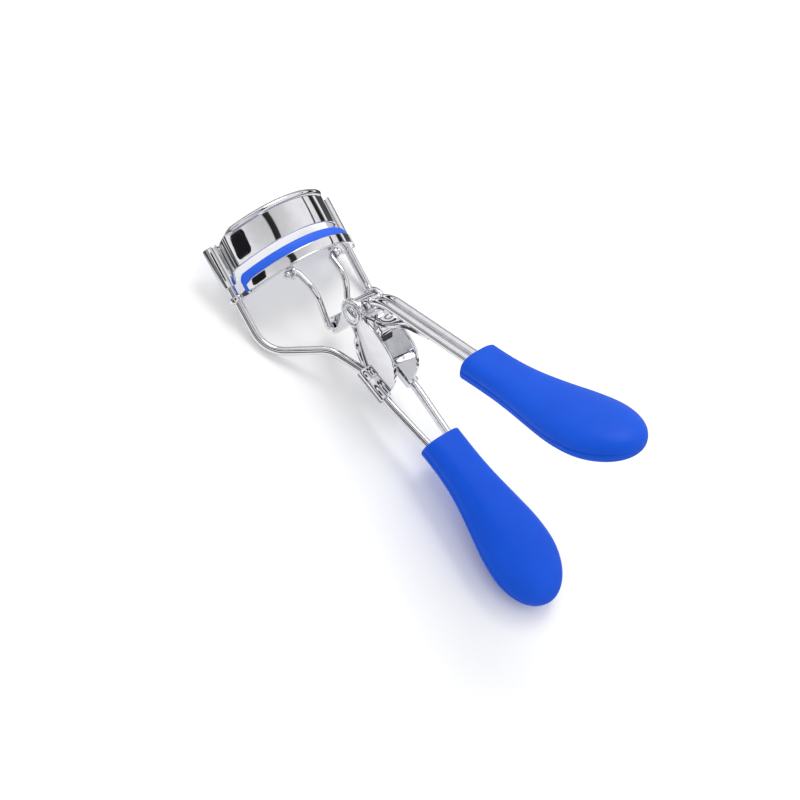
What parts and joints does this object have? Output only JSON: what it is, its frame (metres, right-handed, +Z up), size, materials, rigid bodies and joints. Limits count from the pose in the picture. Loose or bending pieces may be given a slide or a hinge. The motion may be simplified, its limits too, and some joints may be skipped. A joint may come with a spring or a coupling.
{
  "type": "eyelash curler",
  "caption": "Scissor-handled eyelash curler: bent wire frame, arched upper jaw, sliding padded lower jaw and moulded paddle grips.",
  "frame": {"origin": "on the surface that the tool lies on, under the middle of its outline", "axes": "+X across the tool to its right, +Y along the tool towards the jaws, +Z up from the surface it lies on"},
  "size_m": [0.0368, 0.1048, 0.057],
  "materials": {
    "chrome_steel": "polished plating",
    "blue_plastic": "satin moulded",
    "blue_rubber": "soft silicone"
  },
  "bodies": {
    "frame": {"left_frame_wire": "chrome_steel", "right_frame_wire": "chrome_steel", "upper_jaw": "chrome_steel", "hinge_bracket": "chrome_steel", "pivot_rivet": "chrome_steel", "lower_grip": "blue_plastic"},
    "lower_jaw": {"lower_jaw": "chrome_steel", "lash_pad": "blue_rubber"},
    "yoke": {"yoke_wire": "chrome_steel"},
    "lever": {"lever_channel": "chrome_steel", "left_handle_wire": "chrome_steel", "right_handle_wire": "chrome_steel", "upper_grip": "blue_plastic"}
  },
  "joints": [
    {"name": "handle_hinge", "type": "hinge", "parent": "frame", "child": "lever", "pos_m": [0, 0.02044, 0.01673], "axis": [1, 0, 0], "range_deg": [-24, 8.3]},
    {"name": "jaw_slide", "type": "slide", "parent": "frame", "child": "lower_jaw", "axis": [0, 0.9544, 0.2984], "range_m": [-0.0047, 0.00163]},
    {"name": "yoke_swing", "type": "hinge", "parent": "lower_jaw", "child": "yoke", "pos_m": [0, 0.03657, 0.0122], "axis": [1, 0, 0], "range_deg": [-2.84, 0.99]}
  ],
  "couplings": [
    {"joint": "jaw_slide", "follows": "handle_hinge", "m_per_rad": 0.0112},
    {"joint": "yoke_swing", "follows": "handle_hinge", "ratio": 0.118}
  ]
}
